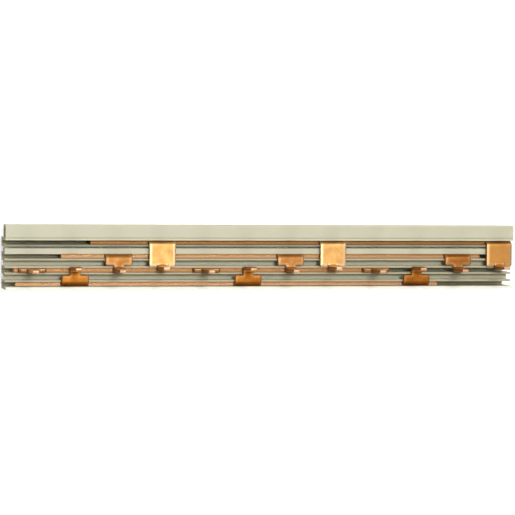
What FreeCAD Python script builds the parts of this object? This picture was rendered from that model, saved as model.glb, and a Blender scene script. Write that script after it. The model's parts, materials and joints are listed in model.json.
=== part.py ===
"""Comb busbar, four poles and twelve modules, resting on its back with its teeth up.

The extruded housing is one insulating profile with a hollow flange along one edge and four
deep slots. Each slot holds one stamped copper comb with three teeth. Three of the combs are
cranked over the front of the housing, so that all twelve pins stand in one row.

X runs along the length, Y across the poles with the flange at +Y, and Z along the pins.
"""
import FreeCAD, Part
import math
import os
import Sketcher
from FreeCAD import Vector

doc = FreeCAD.newDocument("comb_busbar")

# Driving sizes, in millimetres
SIZES = [
    # Teeth and their places along the housing
    ("module_pitch", 17.6, "one breaker module, tooth to tooth"),
    ("teeth_each", 3, "teeth on one comb"),
    ("lead_in", 10.4, "left end of the housing to the middle of the first tooth"),
    ("end_gap", 0.1, "side of the last tooth to the right end of the housing"),
    # Housing profile
    ("pole_pitch", 5.6, "slot to slot across the housing"),
    ("slot_gap", 0.1, "play on each side of the copper in its slot"),
    ("wall", 0.85, "walls of the channels"),
    ("thick_wall", 2.35, "upper wall of the second channel, in front of its web"),
    ("slot_floor", 1.2, "floor under each comb"),
    ("web_depth", 5.9, "webs between the channels, behind the slot lips"),
    ("web_thick", 1.0, "webs between the channels"),
    ("mouth_bevel", 0.3, "width of the bevel that guides a comb into its slot"),
    ("mouth_depth", 0.7, "depth of that bevel"),
    ("rib_play", 0.03, "play between the copper and the holding ribs"),
    ("rib_height", 1.0, "flat top of a holding rib"),
    ("rib_place", 6.0, "slot floor to the middle of the holding ribs"),
    ("rib_flank", 0.3, "run of each sloping flank of a rib"),
    ("flange_height", 6.3, "outer edge of the flange to the first slot"),
    ("flange_rise", 3.6, "flange face above the slot lips"),
    ("flange_depth", 8.9, "flange from face to back"),
    ("flange_wall", 1.2, "walls round the hollow of the flange"),
    ("flange_round", 0.5, "outer corners of the flange"),
    ("bead_width", 0.8, "bead of the flange face along the first slot"),
    ("bead_groove", 0.4, "width of the groove that sets the bead off"),
    ("bead_depth", 0.4, "depth of that groove"),
    ("foot_wall", 1.2, "wall outside the last slot"),
    ("foot_rise", 3.6, "that wall above the slot lips"),
    ("foot_round", 0.4, "rounded front edges of that wall"),
    ("lip_round", 0.15, "rounded edges of the lips and the bead"),
    ("back_round", 0.35, "rounded corners at the back of the channels"),
    # Copper combs
    ("strip_thick", 1.5, "copper strip"),
    ("band_height", 10.7, "band that carries the current, in its slot"),
    ("band_recess", 1.0, "front edge of the band behind the slot lips"),
    ("tab_width", 10.9, "tooth where it leaves the band"),
    ("plate_gap", 0.6, "slot lips to the back of a cranked tooth"),
    ("bend_inside", 0.5, "inner radius of the bend out of the slot"),
    ("rise_inside", 0.9, "inner radius of the bend up into the pin"),
    ("pin_root", 4.3, "width of a pin at its root"),
    ("pin_tip", 2.7, "width of a pin at its tip"),
    ("pin_length", 11.2, "pin beyond the front of the crank"),
    ("tip_lead", 0.9, "length of the bevels at a pin tip"),
    ("tip_bevel", 0.25, "depth of the bevels on each face of a pin tip"),
    ("slit", 0.4, "slits that free the root of a pin from the shoulders beside it"),
    ("edge_round", 0.5, "die-rolled front edges of the teeth"),
    ("bar_lead_1", 23.3, "band of comb 1 before its first tooth"),
    ("bar_lead_2", 17.5, "band of comb 2 before its first tooth"),
    ("bar_lead_3", 1.8, "band of comb 3 before its first tooth"),
    ("bar_lead_4", 18.1, "band of comb 4 before its first tooth"),
    ("bar_tail_2", 4.5, "band of comb 2 past its last tooth"),
    ("bar_tail_4", 4.0, "band of comb 4 past its last tooth"),
    ("pin_shift_1", 1.2, "pins of comb 1 off the plane of comb 3, towards the flange"),
    ("pin_shift_2", 0.2, "pins of comb 2 off the plane of comb 3, towards the flange"),
    ("pin_shift_4", 0.8, "pins of comb 4 off the plane of comb 3, towards the flange"),
    ("slide_3", 0.6, "comb 3 along its slot, off the even spacing of the other teeth"),
    ("neck_1", 0.3, "shoulders of comb 1 to the middle of its pins"),
    ("neck_2", 1.8, "shoulders of comb 2 to the middle of its pins"),
    ("neck_4", 2.7, "shoulders of comb 4 to the middle of its pins"),
]
sheet = doc.addObject("Spreadsheet::Sheet", "sizes")
for row, (alias, value, meaning) in enumerate(SIZES, start=1):
    sheet.set(f"A{row}", alias)
    sheet.set(f"B{row}", str(value))
    sheet.setAlias(f"B{row}", alias)
    sheet.set(f"C{row}", meaning)
doc.recompute()

POLES = 4
# Places nearer than this are the same place
CLOSE = 0.001
# Largest share of a wall that a round on its edge may take, on one edge and on both
ONE_ROUND = 0.8
BOTH_ROUNDS = 0.4
# Slot whose comb carries each tooth, from the left end; the order repeats
TOOTH_ORDER = (3, 4, 2, 1)
# Channel whose upper wall is thicker than the others
THICK_POLE = 2
# The first tooth belongs to the straight comb, and the other pins come over to its plane
ROW_POLE = TOOTH_ORDER[0]

# Sizes that follow from the driving ones
TEETH = f"({POLES} * sizes.teeth_each)"
LAST_TOOTH = f"(sizes.lead_in + ({TEETH} - 1) * sizes.module_pitch)"
LENGTH = f"({LAST_TOOTH} + sizes.tab_width / 2 + sizes.end_gap)"
HALF_SLOT = "(sizes.strip_thick / 2 + sizes.slot_gap)"
LIPS = "(sizes.slot_floor + sizes.band_height + sizes.band_recess)"
FLANGE_FACE = f"({LIPS} + sizes.flange_rise)"
FLANGE_BACK = f"({FLANGE_FACE} - sizes.flange_depth)"
WEB_FRONT = f"({LIPS} - sizes.web_depth)"
WEB_BACK = f"({WEB_FRONT} - sizes.web_thick)"
FOOT_TOP = f"({LIPS} + sizes.foot_rise)"


def slot_middle(pole):
    """Place of a slot across the housing, below the outer edge of the flange."""
    return f"(-sizes.flange_height - {HALF_SLOT} - {pole - 1} * sizes.pole_pitch)"


WIDTH = f"(-{slot_middle(POLES)} + {HALF_SLOT} + sizes.foot_wall)"


def measure(expression):
    """Value of an expression of the sheet's sizes."""
    value = sheet.evalExpression(expression)
    return float(getattr(value, "Value", value))


def origin_feature(body, role):
    """Origin plane or axis of a body."""
    for feature in body.Origin.OriginFeatures:
        if feature.Role == role:
            return feature
    raise ValueError(role)


def new_body(name, place):
    """Empty body whose placement follows three expressions."""
    body = doc.addObject("PartDesign::Body", name)
    body.Label = name
    for axis, expression in zip("xyz", place):
        body.setExpression(f".Placement.Base.{axis}", expression)
    return body


def new_sketch(body, role, name):
    """Sketch on one of the body's origin planes."""
    sketch = body.newObject("Sketcher::SketchObject", name)
    sketch.AttachmentSupport = [(origin_feature(body, role), "")]
    sketch.MapMode = "FlatFace"
    return sketch


def draw_outline(sketch, corners):
    """Closed outline through corners given as expressions.

    A corner is (across, up), or (across, up, centre across, centre up) where the edge that
    leads to it is a round about that centre.
    """
    first = sketch.GeometryCount
    count = len(corners)
    spots = [(measure(corner[0]), measure(corner[1])) for corner in corners]
    starts = {}
    rules = []
    bindings = []
    edges = []
    for index, corner in enumerate(corners):
        before = spots[index - 1]
        here = spots[index]
        edge = first + index
        ends = (1, 2)
        if len(corner) == 2:
            edges.append(Part.LineSegment(Vector(*before, 0), Vector(*here, 0)))
        else:
            centre = (measure(corner[2]), measure(corner[3]))
            from_angle = math.atan2(before[1] - centre[1], before[0] - centre[0])
            to_angle = math.atan2(here[1] - centre[1], here[0] - centre[0])
            turn = (to_angle - from_angle) % (2 * math.pi)
            if turn > math.pi:
                from_angle, to_angle = to_angle, from_angle
                ends = (2, 1)
            radius = math.dist(centre, here)
            circle = Part.Circle(Vector(*centre, 0), Vector(0, 0, 1), radius)
            edges.append(Part.ArcOfCircle(circle, from_angle, to_angle))
            rules.append(Sketcher.Constraint("DistanceX", -1, 1, edge, 3, centre[0]))
            bindings.append(corner[2])
        starts[index] = (edge, ends)
    for index, corner in enumerate(corners):
        edge, ends = starts[index]
        following, following_ends = starts[(index + 1) % count]
        rules.append(Sketcher.Constraint("DistanceX", -1, 1, edge, ends[1], spots[index][0]))
        bindings.append(corner[0])
        rules.append(Sketcher.Constraint("DistanceY", -1, 1, edge, ends[1], spots[index][1]))
        bindings.append(corner[1])
        rules.append(Sketcher.Constraint("Coincident", edge, ends[1], following, following_ends[0]))
        bindings.append(None)
    sketch.addGeometry(edges, False)
    base = len(sketch.Constraints)
    sketch.addConstraint(rules)
    for index, expression in enumerate(bindings):
        if expression is not None:
            sketch.setExpression(f"Constraints[{base + index}]", expression)


def pad(body, sketch, name, length):
    """Pad of a sketch to both sides of its plane."""
    feature = body.newObject("PartDesign::Pad", name)
    feature.Profile = sketch
    feature.SideType = "Symmetric"
    feature.setExpression("Length", length)
    return feature


def cut_through(body, sketch, name):
    """Pocket of a sketch right through the body, both ways."""
    feature = body.newObject("PartDesign::Pocket", name)
    feature.Profile = sketch
    feature.SideType = "Symmetric"
    feature.Type = "ThroughAll"
    return feature


def round_edges(body, name, radius, chosen):
    """Fillet on the edges of the tip that the test picks out."""
    doc.recompute()
    base = body.Tip
    names = []
    for number, edge in enumerate(base.Shape.Edges, start=1):
        if chosen(edge):
            names.append(f"Edge{number}")
    feature = body.newObject("PartDesign::Fillet", name)
    feature.Base = (base, names)
    feature.setExpression("Radius", radius)
    body.Tip = feature
    return feature


def slot_sides(pole):
    """Upper and lower side of a slot."""
    middle = slot_middle(pole)
    return f"({middle} + {HALF_SLOT})", f"({middle} - {HALF_SLOT})"


def rib_outline(side, inward, downwards):
    """Corners of one holding rib on a slot side, listed towards the floor or the mouth."""
    stand = "(sizes.slot_gap - sizes.rib_play)"
    middle = "(sizes.slot_floor + sizes.rib_place)"
    top = f"({side} + {inward} * {stand})"
    low_flank = f"({middle} - sizes.rib_height / 2 - sizes.rib_flank)"
    low = f"({middle} - sizes.rib_height / 2)"
    high = f"({middle} + sizes.rib_height / 2)"
    high_flank = f"({middle} + sizes.rib_height / 2 + sizes.rib_flank)"
    corners = [(side, low_flank), (top, low), (top, high), (side, high_flank)]
    if downwards:
        corners.reverse()
    return corners


def upper_wall(pole):
    """Thickness of a channel's upper wall, in front of the web that it meets."""
    return "sizes.thick_wall" if pole == THICK_POLE else "sizes.wall"


def housing_outline():
    """Outer outline of the housing profile, across and up, once round."""
    first_upper = slot_sides(1)[0]
    bead = f"({first_upper} + sizes.bead_width)"
    groove = f"({bead} + sizes.bead_groove)"
    corners = [
        ("0", FLANGE_BACK),
        ("0", FLANGE_FACE),
        (groove, FLANGE_FACE),
        (groove, f"({FLANGE_FACE} - sizes.bead_depth)"),
        (bead, f"({FLANGE_FACE} - sizes.bead_depth)"),
        (bead, FLANGE_FACE),
        (first_upper, FLANGE_FACE),
    ]
    # Down the front: each slot with its two lips, and the web to the next channel
    for pole in range(1, POLES + 1):
        upper, lower = slot_sides(pole)
        if pole > 1:
            outer = f"({upper} + {upper_wall(pole)})"
            corners += [(outer, WEB_FRONT), (outer, LIPS), (upper, LIPS)]
        corners += rib_outline(upper, -1, downwards=True)
        corners += [(upper, "sizes.slot_floor"), (lower, "sizes.slot_floor")]
        corners += rib_outline(lower, 1, downwards=False)
        if pole < POLES:
            outer = f"({lower} - sizes.wall)"
            corners.append((lower, f"({LIPS} - sizes.mouth_depth)"))
            corners.append((f"({lower} - sizes.mouth_bevel)", LIPS))
            corners += [(outer, LIPS), (outer, WEB_FRONT)]
    # The wall outside the last slot, then the back from the last channel to the first
    lower = slot_sides(POLES)[1]
    outer = f"({lower} - sizes.foot_wall)"
    corners += [(lower, FOOT_TOP), (outer, FOOT_TOP), (outer, "0")]
    for pole in range(POLES, 1, -1):
        outer = f"({slot_sides(pole)[0]} + sizes.wall)"
        next_outer = f"({slot_sides(pole - 1)[1]} - sizes.wall)"
        corners += [(outer, "0"), (outer, WEB_BACK), (next_outer, WEB_BACK), (next_outer, "0")]
    corners.append((f"({first_upper} + sizes.flange_wall)", "0"))
    corners.append((f"({first_upper} + sizes.flange_wall)", FLANGE_BACK))
    return corners


def along_length(edge, spots):
    """Whether an edge runs along the housing through one of the given corners."""
    start, end = edge.Vertexes[0].Point, edge.Vertexes[-1].Point
    if math.hypot(start.y - end.y, start.z - end.z) > CLOSE:
        return False
    return any(math.hypot(start.y - across, start.z - up) < CLOSE for across, up in spots)


def build_housing():
    """Extruded housing: one profile, cut to length."""
    body = new_body("housing", ("0", f"{WIDTH} / 2", "0"))
    profile = new_sketch(body, "YZ_Plane", "housing_profile")
    draw_outline(profile, housing_outline())
    inner = "(-sizes.flange_height + sizes.flange_wall)"
    draw_outline(profile, [
        ("-sizes.flange_wall", f"({FLANGE_BACK} + sizes.flange_wall)"),
        ("-sizes.flange_wall", f"({FLANGE_FACE} - sizes.flange_wall)"),
        (inner, f"({FLANGE_FACE} - sizes.flange_wall)"),
        (inner, f"({FLANGE_BACK} + sizes.flange_wall)"),
    ])
    pad(body, profile, "housing_length", LENGTH)

    face, lips = measure(FLANGE_FACE), measure(LIPS)
    outer_corners = [(0, face), (0, measure(FLANGE_BACK))]
    round_edges(body, "flange_corners", f"min(sizes.flange_round; sizes.flange_wall * {ONE_ROUND})",
                lambda edge: along_length(edge, outer_corners))
    first_upper = measure(slot_sides(1)[0])
    lip_corners = [(first_upper, face), (first_upper + measure("sizes.bead_width"), face)]
    for pole in range(1, POLES + 1):
        upper, lower = [measure(side) for side in slot_sides(pole)]
        if pole > 1:
            lip_corners += [(upper, lips), (upper + measure(upper_wall(pole)), lips)]
        if pole < POLES:
            lip_corners += [(lower - measure("sizes.mouth_bevel"), lips),
                            (lower - measure("sizes.wall"), lips)]
    flat = "min(sizes.wall - sizes.mouth_bevel; sizes.bead_width)"
    round_edges(body, "lip_edges", f"min(sizes.lip_round; {flat} * {BOTH_ROUNDS})",
                lambda edge: along_length(edge, lip_corners))
    last_lower, foot_wall = measure(slot_sides(POLES)[1]), measure("sizes.foot_wall")
    foot_corners = [(last_lower, measure(FOOT_TOP)), (last_lower - foot_wall, measure(FOOT_TOP))]
    round_edges(body, "foot_edges", f"min(sizes.foot_round; sizes.foot_wall * {BOTH_ROUNDS})",
                lambda edge: along_length(edge, foot_corners))
    back_corners = [(first_upper + measure("sizes.flange_wall"), 0), (last_lower - foot_wall, 0)]
    for pole in range(1, POLES):
        lower, next_upper = measure(slot_sides(pole)[1]), measure(slot_sides(pole + 1)[0])
        back_corners += [(lower - measure("sizes.wall"), 0), (next_upper + measure("sizes.wall"), 0)]
    round_edges(body, "channel_backs", f"min(sizes.back_round; sizes.wall * {ONE_ROUND})",
                lambda edge: along_length(edge, back_corners))
    return body


# Heights on a comb, above the floor of its slot
MOUTH = "(sizes.band_height + sizes.band_recess)"
PLATE_BACK = f"({MOUTH} + sizes.plate_gap)"
PLATE_FRONT = f"({PLATE_BACK} + sizes.strip_thick)"
PIN_START = f"({PLATE_FRONT} + sizes.rise_inside)"
TIP = f"({PLATE_FRONT} + sizes.pin_length)"
COMB_SPACING = f"({POLES} * sizes.module_pitch)"
HALF_THICK = "(sizes.strip_thick / 2)"


def pad_band(body, pole):
    """The band that lies in the slot, with its own lead before and tail past its teeth."""
    tails = {2: "sizes.bar_tail_2", 4: "sizes.bar_tail_4"}
    tail = tails.get(pole, "0")
    left = f"(-sizes.tab_width / 2 - sizes.bar_lead_{pole})"
    right = f"((sizes.teeth_each - 1) * {COMB_SPACING} + sizes.tab_width / 2 + {tail})"
    outline = new_sketch(body, "XZ_Plane", f"band_outline_{pole}")
    draw_outline(outline, [(left, "0"), (left, "sizes.band_height"),
                           (right, "sizes.band_height"), (right, "0")])
    pad(body, outline, f"band_{pole}", "sizes.strip_thick")


def plate_outline(way, shoulder):
    """Side view of a crank: up from the band, over the bend, along to the shoulders."""
    inner = f"({way} * {HALF_THICK})"
    outer = f"(-{way} * {HALF_THICK})"
    bend = f"({way} * ({HALF_THICK} + sizes.bend_inside))"
    bend_up = f"({PLATE_BACK} - sizes.bend_inside)"
    return [
        (inner, "0"),
        (inner, bend_up),
        (bend, PLATE_BACK, bend, bend_up),
        (shoulder, PLATE_BACK),
        (shoulder, PLATE_FRONT),
        (bend, PLATE_FRONT),
        (outer, bend_up, bend, bend_up),
        (outer, "0"),
    ]


def pin_outline(way, middle):
    """Side view of a neck and its pin: along the crank, up the second bend, to the tip."""
    start = f"({way} * ({HALF_THICK} + sizes.bend_inside))"
    rise = f"({middle} - {way} * ({HALF_THICK} + sizes.rise_inside))"
    far = f"({middle} + {way} * {HALF_THICK})"
    near = f"({middle} - {way} * {HALF_THICK})"
    far_tip = f"({far} - {way} * sizes.tip_bevel)"
    near_tip = f"({near} + {way} * sizes.tip_bevel)"
    lead = f"({TIP} - sizes.tip_lead)"
    return [
        (start, PLATE_BACK),
        (rise, PLATE_BACK),
        (far, PIN_START, rise, PIN_START),
        (far, lead),
        (far_tip, TIP),
        (near_tip, TIP),
        (near, lead),
        (near, PIN_START),
        (rise, PLATE_FRONT, rise, PIN_START),
        (start, PLATE_FRONT),
    ]


def pocket_taper(body, pole, bottom):
    """Front view of the two wedges that leave the pin tapered from its root to its tip."""
    wedges = new_sketch(body, "XZ_Plane", f"taper_outline_{pole}")
    for side in (-1, 1):
        draw_outline(wedges, [
            (f"({side} * sizes.pin_root / 2)", bottom),
            (f"({side} * sizes.pin_tip / 2)", TIP),
            (f"({side} * sizes.pin_root)", TIP),
            (f"({side} * sizes.pin_root)", bottom),
        ])
    return cut_through(body, wedges, f"taper_{pole}")


def pocket_slits(body, pole, way, middle, shoulder):
    """Top view of the opening that the root of a pin comes up in, with a slit on each side."""
    half = "(sizes.pin_root / 2 + sizes.slit)"
    start = f"({middle} - {way} * ({HALF_THICK} + sizes.rise_inside + sizes.slit))"
    past = f"({shoulder} + {way} * sizes.strip_thick)"
    opening = new_sketch(body, "XY_Plane", f"slit_outline_{pole}")
    draw_outline(opening, [(f"(-{half})", start), (f"(-{half})", past), (half, past), (half, start)])
    return cut_through(body, opening, f"slits_{pole}")


def repeat_teeth(body, pole, features):
    """The comb's other teeth, four modules apart."""
    pattern = body.newObject("PartDesign::LinearPattern", f"teeth_{pole}")
    pattern.Originals = features
    pattern.Direction = (origin_feature(body, "X_Axis"), [""])
    pattern.setExpression("Length", f"(sizes.teeth_each - 1) * {COMB_SPACING}")
    pattern.setExpression("Occurrences", "sizes.teeth_each")
    body.Tip = pattern
    return pattern


def comb_body(pole):
    """Body of a comb, with its first tooth at its own origin and the band on the slot floor."""
    tooth = TOOTH_ORDER.index(pole)
    along = f"(-{LENGTH} / 2 + sizes.lead_in + {tooth} * sizes.module_pitch)"
    if pole == ROW_POLE:
        along = f"({along} + sizes.slide_3)"
    across = f"({WIDTH} / 2 + {slot_middle(pole)})"
    return new_body(f"comb_{pole}", (along, across, "sizes.slot_floor"))


def build_cranked_comb(pole):
    """Comb whose teeth are cranked over to the row of pins."""
    body = comb_body(pole)
    way = -1 if pole < ROW_POLE else 1
    reach = f"({ROW_POLE - pole} * -sizes.pole_pitch + sizes.pin_shift_{pole})"
    shoulder = f"({reach} - {way} * sizes.neck_{pole})"
    pad_band(body, pole)
    plate_side = new_sketch(body, "YZ_Plane", f"crank_side_{pole}")
    draw_outline(plate_side, plate_outline(way, shoulder))
    features = [pad(body, plate_side, f"crank_{pole}", "sizes.tab_width")]
    if measure(f"sizes.neck_{pole}") < measure(f"{HALF_THICK} + sizes.rise_inside"):
        features.append(pocket_slits(body, pole, way, reach, shoulder))
    pin_side = new_sketch(body, "YZ_Plane", f"pin_side_{pole}")
    draw_outline(pin_side, pin_outline(way, reach))
    features.append(pad(body, pin_side, f"pin_{pole}", "sizes.pin_root"))
    features.append(pocket_taper(body, pole, PIN_START))
    repeat_teeth(body, pole, features)

    half_tab, spacing = measure("sizes.tab_width / 2"), measure(COMB_SPACING)
    front, end = measure(PLATE_FRONT), measure(shoulder)
    sides = []
    for index in range(int(measure("sizes.teeth_each"))):
        sides += [index * spacing - half_tab, index * spacing + half_tab]

    def front_edge(edge):
        """Whether an edge is on the front of a crank, along a side or a shoulder's end."""
        middle = edge.CenterOfMass
        on_side = any(abs(middle.x - side) < CLOSE for side in sides)
        on_end = abs(middle.y - end) < CLOSE
        return abs(middle.z - front) < CLOSE and (on_side or on_end)

    round_edges(body, f"rolled_edges_{pole}",
                f"min(sizes.edge_round; sizes.strip_thick * {BOTH_ROUNDS})", front_edge)
    return body


def build_straight_comb():
    """Comb whose teeth stand straight up out of its slot."""
    body = comb_body(ROW_POLE)
    pad_band(body, ROW_POLE)
    front = new_sketch(body, "XZ_Plane", f"tab_outline_{ROW_POLE}")
    draw_outline(front, [
        ("(-sizes.tab_width / 2)", "0"),
        ("(-sizes.tab_width / 2)", PLATE_FRONT),
        ("(sizes.tab_width / 2)", PLATE_FRONT),
        ("(sizes.tab_width / 2)", "0"),
    ])
    tab = pad(body, front, f"tab_{ROW_POLE}", "sizes.strip_thick")
    side = new_sketch(body, "YZ_Plane", f"pin_side_{ROW_POLE}")
    lead = f"({TIP} - sizes.tip_lead)"
    draw_outline(side, [
        (f"(-{HALF_THICK})", "0"),
        (f"(-{HALF_THICK})", lead),
        (f"(-{HALF_THICK} + sizes.tip_bevel)", TIP),
        (f"({HALF_THICK} - sizes.tip_bevel)", TIP),
        (HALF_THICK, lead),
        (HALF_THICK, "0"),
    ])
    pin = pad(body, side, f"pin_{ROW_POLE}", "sizes.pin_root")
    taper = pocket_taper(body, ROW_POLE, PLATE_FRONT)
    repeat_teeth(body, ROW_POLE, [tab, pin, taper])
    return body


parts = [build_housing()]
for pole in range(1, POLES + 1):
    if pole == ROW_POLE:
        parts.append(build_straight_comb())
    else:
        parts.append(build_cranked_comb(pole))
doc.recompute()

for item in doc.Objects:
    if "Invalid" in item.State or "Error" in item.State:
        raise RuntimeError(f"{item.Name} failed: {item.State}")
for part in parts:
    if part.Shape.isNull() or not part.Shape.isValid() or len(part.Shape.Solids) != 1:
        raise RuntimeError(f"{part.Label} has no sound solid")

os.makedirs("parts", exist_ok=True)
for part in parts:
    part.Shape.exportStep(f"parts/{part.Label}.step")
    box = part.Shape.BoundBox
    print(f"{part.Label}: {part.Shape.Volume:.1f} mm3, x {box.XMin:.2f} {box.XMax:.2f}, "
          f"y {box.YMin:.2f} {box.YMax:.2f}, z {box.ZMin:.2f} {box.ZMax:.2f}")
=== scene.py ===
"""Comb busbar lying on its back: extruded insulating housing and four stamped copper combs."""
import json
import math
import bpy
import numpy as np
from mathutils import Matrix, Vector
from types import SimpleNamespace


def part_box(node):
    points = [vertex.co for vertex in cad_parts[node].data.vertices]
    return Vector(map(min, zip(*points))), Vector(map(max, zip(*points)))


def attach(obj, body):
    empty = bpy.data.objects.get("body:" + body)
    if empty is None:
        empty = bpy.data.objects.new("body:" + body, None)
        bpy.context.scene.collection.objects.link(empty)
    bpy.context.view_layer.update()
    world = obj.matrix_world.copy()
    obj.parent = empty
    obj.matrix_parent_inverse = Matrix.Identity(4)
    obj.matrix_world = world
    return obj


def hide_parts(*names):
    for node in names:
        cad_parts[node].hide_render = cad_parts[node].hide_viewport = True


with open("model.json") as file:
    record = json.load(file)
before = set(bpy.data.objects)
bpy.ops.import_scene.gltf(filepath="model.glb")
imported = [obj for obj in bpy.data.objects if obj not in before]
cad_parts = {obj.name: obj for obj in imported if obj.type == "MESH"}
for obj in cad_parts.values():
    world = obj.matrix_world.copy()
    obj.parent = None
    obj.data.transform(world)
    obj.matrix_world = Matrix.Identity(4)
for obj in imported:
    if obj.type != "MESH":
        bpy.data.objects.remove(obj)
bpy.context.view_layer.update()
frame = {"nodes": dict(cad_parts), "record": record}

# Housing: one length of extruded hard PVC, cream with an olive cast, with faint die lines along
# its length. Both ends are saw cuts, rougher, with the marks of the blade, and painted darker as shade.
# Painted reflection of the copper makes the mouths of its four slots a little coppery beside the combs
# that are pushed into them.
MM = 0.001
housing = frame["nodes"]["housing"]
housing_low, housing_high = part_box("housing")
first_slot = 5.85 * MM
pole_pitch = 5.6 * MM
slot_middle = {pole: first_slot - (pole - 1) * pole_pitch for pole in (1, 2, 3, 4)}
half_slot = 0.85 * MM
wall = 0.85 * MM
thick_wall = 2.35 * MM
lip_front = 12.9 * MM
flange_inside = slot_middle[1] + half_slot
foot_inside = slot_middle[4] - half_slot
mouth_reach = 0.35 * MM
mouth_behind = 0.5 * MM
foot_fade_start = housing_high.z - 1.9 * MM
foot_fade_end = housing_high.z - 0.3 * MM

# Margins that carry a tone just past a face, or keep it just short of one
near = 0.1 * MM
hair = 0.01 * MM

# Colours and surface of the plastic
pvc_shade = (0.60, 0.583, 0.425, 1)
pvc_light = (0.64, 0.615, 0.455, 1)
die_line_tone = (0.55, 0.53, 0.37, 1)
lip_tone = (0.52, 0.47, 0.32, 1)
# Painted shade on the wall of slot 1, and painted light in the gap beside it
flange_shadow_tone = (0.37, 0.36, 0.26, 1)
gap_painted_light_tone = (0.90, 0.88, 0.78, 1)
# Painted reflection of the copper on the lips of the slots
copper_reflection_tone = (0.64, 0.46, 0.27, 1)
# Painted light on the front of the foot wall
foot_painted_light_tone = (0.88, 0.86, 0.75, 1)
# Painted shade: the saw-cut ends are darkened as though they stood in shade
sawn_painted_shade_dark = (0.28, 0.26, 0.165, 1)
sawn_painted_shade_pale = (0.35, 0.32, 0.21, 1)
die_line_weight = 0.35
pvc_roughness = (0.40, 0.50)
sawn_roughness = 0.75
pvc_scatter = {"Subsurface Weight": 0.5, "Subsurface Radius": (1.0, 0.9, 0.6),
               "Subsurface Scale": 2.0 * MM}
pvc_relief = {"Strength": 0.35, "Distance": 0.03 * MM}
streak_noise = {"Scale": 1.0, "Detail": 3.0}
patch_noise = {"Detail": 4.0}
patch_span = (0.35, 0.65)
die_lines = {"Across": 2600, "Along": 9}
pvc_mottle = {"Scale": 130}
saw_marks = {"Scale": 420, "Distortion": 3.0, "Detail": 3.0}


def preset(node, values):
    """Node whose named inputs are given constant values."""
    for name, value in values.items():
        node.inputs[name].default_value = value
    return node


def computed(tree, operation, *inputs):
    """Result of a Math node, whose inputs are numbers or other nodes' outputs."""
    node = tree.nodes.new("ShaderNodeMath")
    node.operation = operation
    for slot, value in zip(node.inputs, inputs):
        if isinstance(value, (int, float)):
            slot.default_value = value
        else:
            tree.links.new(value, slot)
    return node.outputs[0]


def both(tree, first, second):
    """Where two masks hold together: their product."""
    return computed(tree, "MULTIPLY", first, second)


def within(tree, value, low, high):
    """1 where a value lies between two limits, else 0."""
    return computed(tree, "COMPARE", value, (low + high) / 2, (high - low) / 2)


def spread(tree, value, low, high, to_low=0.0, to_high=1.0):
    """Value carried evenly from one pair of limits to another, and held at their ends."""
    node = preset(tree.nodes.new("ShaderNodeMapRange"),
                  {"From Min": low, "From Max": high, "To Min": to_low, "To Max": to_high})
    tree.links.new(value, node.inputs["Value"])
    return node.outputs["Result"]


def ranged(tree, mask, low, high):
    """Mask carried from 0 and 1 to two other limits."""
    return spread(tree, mask, 0.0, 1.0, low, high)


def blended(tree, mask, first, second, kind="RGBA"):
    """Between two colours, or two numbers where the kind is VALUE, by a mask.

    Each of the two is given as it is or as another node's output.
    """
    mix = tree.nodes.new("ShaderNodeMix")
    mix.data_type = "RGBA" if kind == "RGBA" else "FLOAT"
    tree.links.new(mask, mix.inputs["Factor"])
    for name, value in (("A", first), ("B", second)):
        slot = next(item for item in mix.inputs if item.name == name and item.type == kind)
        if isinstance(value, (tuple, float)):
            slot.default_value = value
        else:
            tree.links.new(value, slot)
    return next(item for item in mix.outputs if item.type == kind)


def object_place(tree):
    """Object coordinates, as one vector."""
    return tree.nodes.new("ShaderNodeTexCoord").outputs["Object"]


def axes(tree, place):
    """The three coordinates of a place."""
    split = tree.nodes.new("ShaderNodeSeparateXYZ")
    tree.links.new(place, split.inputs[0])
    return split.outputs["X"], split.outputs["Y"], split.outputs["Z"]


def mask_group(name, *settings):
    """Node group with numbers as its settings and a mask as its output, still to be filled."""
    group = bpy.data.node_groups.new(name, "ShaderNodeTree")
    for setting in settings:
        group.interface.new_socket(setting, in_out="INPUT", socket_type="NodeSocketFloat")
    group.interface.new_socket("Mask", in_out="OUTPUT", socket_type="NodeSocketFloat")
    given = group.nodes.new("NodeGroupInput")
    result = group.nodes.new("NodeGroupOutput")
    return group, given.outputs, result.inputs["Mask"]


def lengthwise_streaks():
    """Streaks: noise on object coordinates, squeezed across the length and stretched along it."""
    group, given, mask = mask_group("lengthwise_streaks", "Across", "Along")
    x, y, z = axes(group, object_place(group))
    stretched = group.nodes.new("ShaderNodeCombineXYZ")
    for axis, value, scale in (("X", x, "Along"), ("Y", y, "Across"), ("Z", z, "Across")):
        group.links.new(computed(group, "MULTIPLY", value, given[scale]), stretched.inputs[axis])
    noise = preset(group.nodes.new("ShaderNodeTexNoise"), streak_noise)
    group.links.new(stretched.outputs[0], noise.inputs["Vector"])
    group.links.new(noise.outputs["Fac"], mask)
    return group


def soft_patches():
    """Cloudy mottling: noise on object coordinates, with its middle range spread from 0 to 1."""
    group, given, mask = mask_group("soft_patches", "Scale")
    noise = preset(group.nodes.new("ShaderNodeTexNoise"), patch_noise)
    group.links.new(object_place(group), noise.inputs["Vector"])
    group.links.new(given["Scale"], noise.inputs["Scale"])
    group.links.new(spread(group, noise.outputs["Fac"], *patch_span), mask)
    return group


def masked(tree, group, settings):
    """Mask of one of the two shared groups, with its settings."""
    node = tree.nodes.new("ShaderNodeGroup")
    node.node_tree = group
    return preset(node, settings).outputs["Mask"]


def new_material(name):
    """Material with its node tree and its shader."""
    material = bpy.data.materials.new(name)
    material.use_nodes = True
    return material, material.node_tree, material.node_tree.nodes["Principled BSDF"]


def surfaced(tree, shader, color, roughness, height, relief):
    """Feeds a shader its colour, its roughness and the relief of a height."""
    bump = preset(tree.nodes.new("ShaderNodeBump"), relief)
    tree.links.new(height, bump.inputs["Height"])
    tree.links.new(color, shader.inputs["Base Color"])
    tree.links.new(roughness, shader.inputs["Roughness"])
    tree.links.new(bump.outputs["Normal"], shader.inputs["Normal"])


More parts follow.
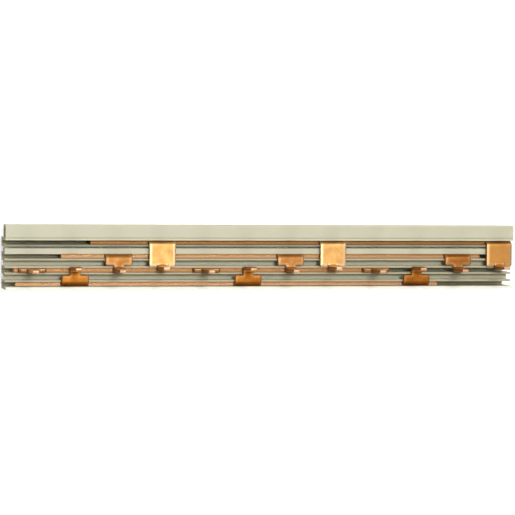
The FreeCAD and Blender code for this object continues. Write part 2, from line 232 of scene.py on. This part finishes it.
def slot_tones(tree, base, x, y, z):
    """Colour of the plastic, changed at the mouths of the slots and on the foot wall, in part by painted
    shade, painted light and a painted reflection of the copper.

    Each tone lies between limits on the object coordinates, which follow from the slots.
    """
    # The lips from slot 2 to slot 4 are darker than the rest
    at_mouths = both(tree, within(tree, z, lip_front - mouth_behind, lip_front + near),
                     within(tree, y, foot_inside + near / 2, flange_inside - near / 2))
    on_lips = within(tree, y, slot_middle[4] + half_slot - near, slot_middle[2] - half_slot + near)
    base = blended(tree, both(tree, on_lips, at_mouths), base, lip_tone)

    # Painted shade: the wall of slot 1 is darkened for the flange's shadow on it, and painted light makes
    # the deep gap between it and slot 2 pale
    lip_high = slot_middle[1] - half_slot
    lip_low = lip_high - wall
    gap_low = slot_middle[2] + half_slot + thick_wall
    base = blended(tree, within(tree, y, lip_low + hair, lip_high - hair), base, flange_shadow_tone)
    base = blended(tree, within(tree, y, gap_low - hair / 2, lip_low + hair / 2), base, gap_painted_light_tone)

    # Painted reflection: the lips beside each comb are tinted coppery, as far as the comb is long
    reach = half_slot + mouth_reach
    for pole, middle in slot_middle.items():
        comb_low, comb_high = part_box(f"comb_{pole}")
        beside_comb = both(tree, within(tree, y, middle - reach, middle + reach),
                           within(tree, x, comb_low.x, comb_high.x))
        base = blended(tree, both(tree, beside_comb, at_mouths), base, copper_reflection_tone)

    # Painted light: the foot wall is painted paler towards its front, as though brightly lit there
    on_foot = within(tree, y, housing_low.y - near, foot_inside + near)
    at_front = spread(tree, z, foot_fade_start, foot_fade_end)
    return blended(tree, both(tree, on_foot, at_front), base, foot_painted_light_tone)


def housing_pvc():
    """Extruded plastic: die lines and mottling, tones at the slots, and saw marks on the ends with
    painted shade.
    """
    pvc, tree, shader = new_material("housing_pvc")
    preset(shader, pvc_scatter)
    place = object_place(tree)
    x, y, z = axes(tree, place)
    lines = masked(tree, streaks, die_lines)
    clouds = masked(tree, patches, pvc_mottle)
    base = blended(tree, clouds, pvc_shade, pvc_light)
    base = blended(tree, ranged(tree, lines, 0.0, die_line_weight), base, die_line_tone)
    base = slot_tones(tree, base, x, y, z)

    # Saw-cut ends: saw marks, and painted shade that darkens them
    on_end = computed(tree, "GREATER_THAN", computed(tree, "ABSOLUTE", x), housing_high.x - 2 * hair)
    saw = preset(tree.nodes.new("ShaderNodeTexWave"), saw_marks)
    saw.bands_direction = "DIAGONAL"
    tree.links.new(place, saw.inputs["Vector"])
    marks = saw.outputs["Fac"]
    color = blended(tree, on_end, base, blended(tree, marks, sawn_painted_shade_dark, sawn_painted_shade_pale))
    roughness = blended(tree, on_end, ranged(tree, clouds, *pvc_roughness), sawn_roughness, "VALUE")
    height = blended(tree, on_end, lines, marks, "VALUE")
    surfaced(tree, shader, color, roughness, height, pvc_relief)
    return pvc


streaks = lengthwise_streaks()
patches = soft_patches()
housing.data.materials.clear()
housing.data.materials.append(housing_pvc())

# Combs: bare copper strip, 1.5 mm thick, punched to a flat pattern and folded. The punch leaves
# rolled edges on the front of each tooth and a plain cut edge round the whole outline. A comb is
# pushed into its slot, and the plates of its teeth bring all the pins of the busbar into one row.
strip = 1.5 * MM
band_height = 10.7 * MM
plate_gap = 0.6 * MM
bend_radius = 1.25 * MM
rise_radius = 1.65 * MM
half_tab = 5.45 * MM
half_root = 2.15 * MM
half_tip = 1.35 * MM
slit = 0.15 * MM
neck = {1: 0.3 * MM, 2: 1.8 * MM, 4: 2.7 * MM}
slot_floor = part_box("comb_1")[0].z
tip_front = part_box("comb_1")[1].z
tip_height = tip_front - slot_floor
plate_middle = lip_front + plate_gap + strip / 2 - slot_floor

# Rounds and bevels of the strip's edges and corners
tip_lead = 0.9 * MM
tip_bevel = 0.25 * MM
tip_round = 0.35 * MM
corner_round = 0.7 * MM
root_round = 0.4 * MM
flare_reach = 1.45 * MM
edge_round = 0.3 * MM
back_round = 0.08 * MM
roll_width = 1.5 * MM
roll_depth = 0.12 * MM
pin_roll_depth = 0.05 * MM
smooth_below = math.radians(35)

# Steps of the grid, and how close two of its lines may lie
edge_steps = np.array([0.02, 0.06, 0.12, 0.2, 0.3, 0.5, 0.8, 1.15, 1.5]) * MM
column_step = 4 * MM
column_clearance = 0.3 * MM
row_step = 1.2 * MM
thinnest_row = 0.008 * MM
bend_lines = 13
decimals = 7
micron = 0.001 * MM
same = 1e-8

# Teeth from the left, by the comb they belong to, and the places of the pins of each comb
tooth_order = (3, 4, 2, 1)
row_pole = 3
pin_places = {pole: [] for pole in slot_middle}
pin_mounts = [mount for mount in frame["record"]["mounts"] if mount["name"].startswith("pin_")]
for number, mount in enumerate(sorted(pin_mounts, key=lambda mount: mount["name"])):
    pin_places[tooth_order[number % len(tooth_order)]].append(mount["pos_m"][:2])


def fold_places(reach):
    """Where the two bends start and end, measured along the middle line of the strip.

    A bend is a quarter turn, so its length is its radius times half of pi.
    """
    first = plate_middle - bend_radius
    second = first + bend_radius * math.pi / 2
    third = second + reach - bend_radius - rise_radius
    fourth = third + rise_radius * math.pi / 2
    return first, second, third, fourth


def comb_path(along, way, reach, straight_on):
    """Middle line of the folded strip and its front normal, across and up.

    It runs up the slot, round the first bend by an arc of radius bend_radius, along the plate,
    and round the second bend by an arc of radius rise_radius into the pin. A shoulder runs
    straight on instead of rising. A straight comb has no reach and only goes up.
    """
    zero = np.zeros_like(along)
    if reach == 0:
        return zero, along, zero - way, zero
    first, second, third, fourth = fold_places(reach)
    angle = np.clip((along - first) / bend_radius, 0, math.pi / 2)
    turn = np.where(straight_on, 0, np.clip((along - third) / rise_radius, 0, math.pi / 2))
    past = np.maximum(along - second, 0)
    plate = np.where(straight_on, past, np.minimum(past, third - second))
    across = bend_radius * (1 - np.cos(angle)) + plate + rise_radius * np.sin(turn)
    up = np.minimum(along, first) + bend_radius * np.sin(angle) + rise_radius * (1 - np.cos(turn))
    up = up + np.where(straight_on, 0, np.maximum(along - fourth, 0))
    lean = angle - turn
    return way * across, up, -way * np.cos(lean), np.sin(lean)


def comb_plan(pole):
    """Measures of one comb, from its box and from the places of its pins.

    The reach goes from the slot to the row of pins. The shoulder, the start of a pin, its tip and
    the start of the slits are measured along the middle line, from the foot of the band.
    """
    box_low, box_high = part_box(f"comb_{pole}")
    plan = SimpleNamespace(left=box_low.x, right=box_high.x, slot_y=slot_middle[pole])
    plan.centres = np.array([place[0] for place in pin_places[pole]])
    plan.way = 1 if pole > row_pole else -1
    plan.has_slits = pole != row_pole and neck[pole] < rise_radius
    if pole == row_pole:
        plan.reach, plan.bends = 0, []
        plan.shoulder = plan.pin_start = plate_middle + strip / 2
        plan.tip = tip_height
    else:
        plan.reach = abs(pin_places[pole][0][1] - plan.slot_y)
        first, second, third, fourth = fold_places(plan.reach)
        plan.bends = [np.linspace(*bend, bend_lines) for bend in ((first, second), (third, fourth))]
        plan.pin_start = fourth
        plan.shoulder = second + plan.reach - neck[pole] - bend_radius
        plan.tip = fourth + tip_height - plate_middle - rise_radius
    plan.slit_start = third - slit if plan.has_slits else plan.tip
    return plan


def beside(places, low, high):
    """Grid lines at places and at small steps on both sides of them, in order, none twice."""
    steps = np.concatenate((-edge_steps, [0.0], edge_steps))
    lines = (np.asarray(places)[:, None] + steps).ravel()
    lines = lines[(lines > low - same) & (lines < high + same)]
    lines = np.unique(np.round(lines, decimals))
    return lines[np.concatenate(([True], np.diff(lines) > micron))]


def pattern_grid(plan):
    """Columns and rows of the flat pattern: close beside every edge, and in even steps between."""
    edges = [half_root, half_tab] + ([half_root + slit] if plan.has_slits else [])
    sides = [centre + side * edge for centre in plan.centres for side in (-1, 1) for edge in edges]
    columns = beside([plan.left, plan.right] + sides, plan.left, plan.right)
    steps = np.arange(plan.left, plan.right, column_step)
    steps = steps[np.abs(steps[:, None] - columns).min(1) > column_clearance]
    columns = np.unique(np.concatenate((columns, steps)))
    ends = [0, band_height, plan.shoulder, plan.tip] + ([plan.slit_start] if plan.has_slits else [])
    steps = np.arange(0, plan.tip, row_step)
    rows = np.concatenate([beside(ends, 0, plan.tip), steps, [plan.tip - tip_lead]] + plan.bends)
    rows = np.unique(np.round(rows, decimals))
    return columns, rows[np.concatenate(([True], np.diff(rows) > thinnest_row))]


def kept_cells(plan, columns, rows):
    """Cells of the grid that the punch leaves: the band, the teeth and the pins, less the slits.

    A cell is judged by its middle, which is how far it lies aside from a pin and how far up.
    """
    aside = np.abs((columns[1:] + columns[:-1])[:, None] / 2 - plan.centres).min(1)
    up = (rows[1:] + rows[:-1])[:, None] / 2
    kept = (up < band_height) | ((aside < half_tab) & (up < plan.shoulder)) | (aside < half_root)
    in_slit = (aside > half_root) & (aside < half_root + slit) & (up > plan.slit_start)
    return kept & ~in_slit


def round_off(radius, distance):
    """How far a quarter round falls back at a distance from its edge.

    It is the radius less the square root of the radius squared less the square of what the
    distance lacks to the radius.
    """
    lacking = np.clip(radius - distance, 0, radius)
    return radius - np.sqrt(radius ** 2 - lacking ** 2)


def shaped_columns(plan, columns, rows):
    """Places of the grid's points along the housing, and whether each column is on a pin.

    Across a tooth, each stretch between two edges is scaled evenly to the true places of those
    edges at that row: the pin tapers and has round tip corners, the shoulder has round ends, and
    the inner corners at the band and at the pin's root are quarter rounds.
    """
    x, s = np.meshgrid(columns, rows)
    tooth = np.abs(columns[:, None] - plan.centres).argmin(1)
    off = x - plan.centres[tooth]
    away = np.abs(off)
    climb = np.clip((s - plan.pin_start) / (plan.tip - plan.pin_start), 0, 1)
    pin = half_root + (half_tip - half_root) * climb - round_off(tip_round, plan.tip - s)
    if not plan.has_slits:
        pin = pin + round_off(root_round, s - plan.shoulder)
    ends_flush = abs(plan.right - plan.centres[-1] - half_tab) < micron
    flush = ends_flush & (tooth == len(plan.centres) - 1) & (off > 0)
    tab = half_tab - round_off(corner_round, plan.shoulder - s)
    tab = tab + np.where(flush, 0, round_off(root_round, s - band_height))

    inner = half_root + slit if plan.has_slits else half_root
    inner_to = inner if plan.has_slits else pin
    on_pin = away < half_root + same
    moved = np.where(on_pin, away * pin / half_root, away)
    ring = inner_to + (away - inner) * (tab - inner_to) / (half_tab - inner)
    moved = np.where(away > inner + same, ring, moved)
    outer = tab + (away - half_tab) * (half_tab + flare_reach - tab) / flare_reach
    outer = np.where(away < half_tab + flare_reach, outer, away)
    moved = np.where(away > half_tab + same, outer, moved)
    return plan.centres[tooth] + np.sign(off) * moved, on_pin


def edge_distance(points, starts, ends):
    """Distance from each point to the nearest of the outline's edges.

    A point is dropped on the line of an edge, held between its two ends, and measured from there.
    The edges are taken some at a time, which keeps the arrays small.
    """
    at_once = 64
    nearest = np.full(len(points), np.inf)
    for first in range(0, len(starts), at_once):
        start, run = starts[first:first + at_once], (ends - starts)[first:first + at_once]
        offset = points[:, None, :] - start[None]
        share = np.clip((offset * run).sum(2) / np.maximum((run * run).sum(1), same ** 2), 0, 1)
        gap = offset - share[..., None] * run
        nearest = np.minimum(nearest, np.sqrt((gap * gap).sum(2)).min(1))
    return nearest


def comb_mesh(pole):
    """Closed surface of one comb, from its flat pattern.

    The pattern is a grid of columns along the housing and rows along the strip, of which the
    cells of the band, the teeth and the pins are kept. The front lies half a strip from the
    middle line, less a quarter round at the outline and a gentle die roll further in, and the
    back the same with a much smaller round. A band of faces joins the two along the outline.
    """
    plan = comb_plan(pole)
    columns, rows = pattern_grid(plan)
    flat_x, on_pin = shaped_columns(plan, columns, rows)

    # Kept cells as quads, and the outline as the edges that only one of them uses
    number = np.arange(flat_x.size).reshape(flat_x.shape)
    quads = np.stack((number[:-1, :-1], number[:-1, 1:], number[1:, 1:], number[1:, :-1]), 2)
    used, quads = np.unique(quads[kept_cells(plan, columns, rows)], return_inverse=True)
    quads = quads.reshape(-1, 4)
    count = len(used)
    edge_from = quads.ravel()
    edge_to = np.roll(quads, -1, axis=1).ravel()
    single = ~np.isin(edge_from * count + edge_to, edge_to * count + edge_from)
    edge_from, edge_to = edge_from[single], edge_to[single]

    # Distance of each point from the outline, in which the narrow slits don't count
    flat = np.stack((flat_x, np.broadcast_to(rows[:, None], flat_x.shape)), 2).reshape(-1, 2)[used]
    up = flat[:, 1]
    is_pin = on_pin.ravel()[used]
    aside = np.abs(flat[:, :1] - plan.centres).min(1)
    in_slit = (np.abs(aside - half_root - slit / 2) < slit / 2 + micron) & plan.has_slits
    in_slit &= (up > plan.slit_start - micron) & (up < plan.shoulder + micron)
    rolled = ~(in_slit[edge_from] & in_slit[edge_to])
    depth = edge_distance(flat, flat[edge_from[rolled]], flat[edge_to[rolled]])

    # Front and back on either side of the folded middle line
    on_tooth = np.clip((up - band_height) / roll_width, 0, 1)
    front_round = back_round + (edge_round - back_round) * on_tooth
    roll = np.where(is_pin & (up > plan.shoulder), pin_roll_depth, roll_depth * on_tooth)
    drop = round_off(front_round, depth) + roll * np.clip(1 - depth / roll_width, 0, 1) ** 2
    half = strip / 2 - tip_bevel * np.clip((up - plan.tip + tip_lead) / tip_lead, 0, 1)
    across, height, normal_across, normal_up = comb_path(up, plan.way, plan.reach, ~is_pin)
    points = []
    for out in (half - drop, round_off(back_round, depth) - half):
        points.append(np.stack((flat[:, 0], plan.slot_y + across + out * normal_across,
                                slot_floor + height + out * normal_up), 1))

    # Faces point outwards: those of a comb whose way is -1 are turned round
    rim = np.stack((edge_to, edge_from, edge_from + count, edge_to + count), 1)
    faces = np.concatenate((quads, quads[:, ::-1] + count, rim))
    if plan.way < 0:
        faces = faces[:, ::-1]
    mesh = bpy.data.meshes.new(f"comb_{pole}_strip")
    mesh.from_pydata(np.concatenate(points), [], faces.tolist())
    border = mesh.attributes.new("edge_depth", "FLOAT", "POINT")
    border.data.foreach_set("value", np.tile(depth / roll_width, 2).astype(np.float32))
    is_rim = np.arange(len(faces)) >= 2 * len(quads)
    mesh.polygons.foreach_set("material_index", is_rim.astype(np.int32))
    mesh.polygons.foreach_set("use_smooth", np.ones(len(faces), dtype=bool))
    mesh.update()
    mesh.set_sharp_from_angle(angle=smooth_below)
    return mesh


# Finishes of the combs. Their tones differ from comb to comb as painted light and shade, for the tilt of
# each comb's plates and the light they reflect: comb 1 is painted the brightest, and comb 4 the deepest
# in colour. Wear and highlight is how far the rolled borders are rubbed bright and painted with a
# highlight, and the painted highlight lies on the side of a cut edge towards the foot wall.
comb_tones_with_painted_light = {
    1: dict(bright=(0.75, 0.44, 0.15, 1), tarnished=(0.69, 0.385, 0.125, 1),
            rubbed_and_highlit=(0.76, 0.53, 0.29, 1), wear_and_highlight=0.95),
    2: dict(bright=(0.51, 0.245, 0.075, 1), tarnished=(0.44, 0.185, 0.045, 1),
            rubbed_and_highlit=(0.68, 0.45, 0.25, 1), wear_and_highlight=0.35),
    3: dict(bright=(0.60, 0.30, 0.10, 1), tarnished=(0.50, 0.22, 0.06, 1),
            rubbed_and_highlit=(0.75, 0.50, 0.28, 1), wear_and_highlight=0.4),
    4: dict(bright=(0.47, 0.19, 0.03, 1), tarnished=(0.40, 0.14, 0.017, 1),
            rubbed_and_highlit=(0.62, 0.34, 0.14, 1), wear_and_highlight=0.15),
}
cut_tones = {
    1: dict(burnished=(0.32, 0.145, 0.045, 1), torn=(0.25, 0.105, 0.03, 1), painted_highlight=(0.42, 0.22, 0.08, 1)),
    2: dict(burnished=(0.38, 0.205, 0.09, 1), torn=(0.31, 0.155, 0.062, 1), painted_highlight=(0.66, 0.42, 0.24, 1)),
    3: dict(burnished=(0.32, 0.165, 0.07, 1), torn=(0.255, 0.12, 0.047, 1), painted_highlight=(0.60, 0.33, 0.15, 1)),
    4: dict(burnished=(0.35, 0.20, 0.095, 1), torn=(0.28, 0.15, 0.065, 1), painted_highlight=(0.72, 0.47, 0.28, 1)),
}
rolling_lines = {"Across": 9000, "Along": 60}
tarnish_mottle = {"Scale": 260}
spot_mottle = {"Scale": 1500}
torn_mottle = {"Scale": 2500}
spot_share = (0.7, 0.7, 0.7)
spot_weight = 0.25
# Painted shade that darkens the combs towards the right-hand end
rightward_shade_share = (0.72, 0.58, 0.42)
rightward_shade_span = (30 * MM, 100 * MM)
rightward_shade_weight = 0.8
border_span = (0.86, 0.74)
copper_roughness = (0.50, 0.60)
rubbed_roughness = 0.45
face_relief = {"Strength": 0.3, "Distance": 0.01 * MM}
cut_roughness = (0.42, 0.62)
cut_relief = {"Strength": 0.4, "Distance": 0.02 * MM}
# Painted highlight on the cut edge in the slot, towards the foot wall
painted_highlight_across = (0.3 * MM, -0.7 * MM)
painted_highlight_up = (13.2 * MM, 12.6 * MM)
# Painted shade up the pins, and a painted highlight on the tips' ends
pin_side_painted_shade = (0.50, 0.20, 0.05, 1)
pin_side_shade_span = (15.2 * MM, 17 * MM)
tip_end_painted_highlight = (0.64, 0.42, 0.26, 1)
tip_end_depth = 0.08 * MM


def toned(color, share):
    """Colour with each of its three channels times a share."""
    return tuple(value * part for value, part in zip(color, share)) + (1,)


def copper_face(pole, bright, tarnished, rubbed_and_highlit, wear_and_highlight):
    """Rolled copper: fine lines along the strip, tarnish in patches, and rolled borders rubbed clean in
    part and painted with a highlight in part.

    Painted shade darkens it towards the right-hand end of the busbar, where the plates catch less of the
    lamps.
    """
    copper, tree, shader = new_material(f"copper_face_{pole}")
    preset(shader, {"Metallic": 1.0})
    lines = masked(tree, streaks, rolling_lines)
    clouds = masked(tree, patches, tarnish_mottle)
    spots = masked(tree, patches, spot_mottle)
    base = blended(tree, clouds, bright, tarnished)
    base = blended(tree, ranged(tree, spots, 0.0, spot_weight), base, toned(tarnished, spot_share))
    x, _, _ = axes(tree, object_place(tree))
    # Painted shade towards the right-hand end of the busbar
    shaded_rightward = spread(tree, x, *rightward_shade_span, 0.0, rightward_shade_weight)
    base = blended(tree, shaded_rightward, base, toned(tarnished, rightward_shade_share))
    # Rolled borders: rubbed clean in part, and a painted highlight in part
    border = tree.nodes.new("ShaderNodeAttribute")
    border.attribute_name = "edge_depth"
    clean_and_highlit = spread(tree, border.outputs["Fac"], *border_span, 0.0, wear_and_highlight)
    color = blended(tree, clean_and_highlit, base, blended(tree, shaded_rightward, rubbed_and_highlit, toned(rubbed_and_highlit, rightward_shade_share)))
    roughness = ranged(tree, clouds, *copper_roughness)
    roughness = blended(tree, clean_and_highlit, roughness, rubbed_roughness, "VALUE")
    surfaced(tree, shader, color, roughness, lines, face_relief)
    return copper


def copper_cut(pole, burnished, torn, painted_highlight):
    """Punched edge: burnished and torn patches, painted shade up the pins, a painted highlight on the
    tips' ends.

    In the slot a painted highlight brightens the edge towards the foot wall, a reflection of its pale
    plastic.
    """
    cut, tree, shader = new_material(f"copper_cut_{pole}")
    preset(shader, {"Metallic": 1.0})
    _, y, z = axes(tree, object_place(tree))
    tears = masked(tree, patches, torn_mottle)
    base = blended(tree, tears, burnished, torn)
    # Painted highlight on the edge towards the foot wall
    highlight_start, highlight_end = (slot_middle[pole] + place for place in painted_highlight_across)
    on_painted_highlight = both(tree, spread(tree, y, highlight_start, highlight_end), spread(tree, z, *painted_highlight_up))
    base = blended(tree, on_painted_highlight, base, painted_highlight)
    # Painted shade up the pins, and a painted highlight on the tips' ends
    base = blended(tree, spread(tree, z, *pin_side_shade_span), base, pin_side_painted_shade)
    on_tip_end = computed(tree, "GREATER_THAN", z, tip_front - tip_end_depth)
    color = blended(tree, on_tip_end, base, tip_end_painted_highlight)
    surfaced(tree, shader, color, ranged(tree, tears, *cut_roughness), tears, cut_relief)
    return cut


for pole in slot_middle:
    comb = bpy.data.objects.new(f"comb_{pole}_strip", comb_mesh(pole))
    bpy.context.scene.collection.objects.link(comb)
    comb.data.materials.append(copper_face(pole, **comb_tones_with_painted_light[pole]))
    comb.data.materials.append(copper_cut(pole, **cut_tones[pole]))
    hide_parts(f"comb_{pole}")
    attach(comb, "root")

# Floor: a plain white table top. It keeps the soft shadow of the busbar, and the camera,
# reflections and refractions see it glow a little, and wholly white further away.
floor_half = 3.0
floor_finish = {"Base Color": (0.9, 0.9, 0.9, 1), "Roughness": 0.9, "Specular IOR Level": 0.0,
                "Emission Color": (1, 1, 1, 1)}
glow_span = (0.2, 0.8)
glow_near = 0.5
glow_far = 1.0
floor_mesh = bpy.data.meshes.new("floor")
corners = [(side * floor_half, end * floor_half, 0) for side, end in ((-1, -1), (1, -1), (1, 1), (-1, 1))]
floor_mesh.from_pydata(corners, [], [(0, 1, 2, 3)])
floor = bpy.data.objects.new("floor", floor_mesh)
bpy.context.scene.collection.objects.link(floor)


def white_table():
    """White that glows only for rays from the camera, from a reflection and through glass."""
    white, tree, shader = new_material("white_table")
    preset(shader, floor_finish)
    path = tree.nodes.new("ShaderNodeLightPath")
    seen = path.outputs["Is Camera Ray"]
    for kind in ("Is Glossy Ray", "Is Transmission Ray"):
        seen = computed(tree, "MAXIMUM", seen, path.outputs[kind])
    distance = tree.nodes.new("ShaderNodeVectorMath")
    distance.operation = "LENGTH"
    tree.links.new(object_place(tree), distance.inputs[0])
    glow = spread(tree, distance.outputs["Value"], *glow_span, glow_near, glow_far)
    tree.links.new(both(tree, seen, glow), shader.inputs["Emission Strength"])
    return white


floor_mesh.materials.append(white_table())

# Lights: a small lamp nearly overhead, which leaves the slots dark and crisp, a wide one behind
# on the right, and a low wide one in front for the foot wall. The world fills in evenly, and
# the camera sees it white.
lit_place = Vector((0, 0, 0.015))
lamps = {
    "key_lamp": dict(place=(0.0, 0.21, 1.45), width=0.22, watts=9.5),
    "far_lamp": dict(place=(0.45, 1.0, 1.1), width=0.5, watts=6.5),
    "low_lamp": dict(place=(0.1, -1.3, 0.4), width=0.5, watts=8.5),
}
fill_strength = 0.3
seen_strength = 1.0


def soft_lamp(name, place, width, watts):
    """Square lamp at a place, turned to the middle of the busbar."""
    data = bpy.data.lights.new(name, "AREA")
    data.size = width
    data.energy = watts
    lamp = bpy.data.objects.new(name, data)
    bpy.context.scene.collection.objects.link(lamp)
    lamp.location = place
    lamp.rotation_euler = (lit_place - Vector(place)).to_track_quat("-Z", "Y").to_euler()


for name, settings in lamps.items():
    soft_lamp(name, **settings)
world = bpy.data.worlds.new("studio")
bpy.context.scene.world = world
world.use_nodes = True
world_tree = world.node_tree
sky = preset(world_tree.nodes["Background"], {"Color": (1, 1, 1, 1)})
sky_path = world_tree.nodes.new("ShaderNodeLightPath")
sky_strength = ranged(world_tree, sky_path.outputs["Is Camera Ray"], fill_strength, seen_strength)
world_tree.links.new(sky_strength, sky.inputs["Strength"])

# Camera: straight above the busbar, a little to its left and to the flange's side, with a long
# lens. The roll turns the picture by a hair.
camera_distance = 1.0
camera_turn = math.radians(11.57)
camera_rise = math.radians(2.0)
camera_roll = 0.007
camera_lens = 172.4
aim = Vector((-0.0023, -0.00023, 0.013))
away = Vector((-math.sin(camera_turn) * math.cos(camera_rise), math.sin(camera_rise),
               math.cos(camera_turn) * math.cos(camera_rise)))
across = (-away).cross(Vector((0, 1, 0))).normalized()
upward = across.cross(-away)
right = across * math.cos(camera_roll) + upward * math.sin(camera_roll)
up = upward * math.cos(camera_roll) - across * math.sin(camera_roll)
camera_data = bpy.data.cameras.new("camera")
camera_data.lens = camera_lens
camera = bpy.data.objects.new("camera", camera_data)
bpy.context.scene.collection.objects.link(camera)
turned = Matrix((right, up, away)).transposed()
camera.matrix_world = Matrix.Translation(aim + away * camera_distance) @ turned.to_4x4()
bpy.context.scene.camera = camera
bpy.context.scene.view_settings.view_transform = "Standard"
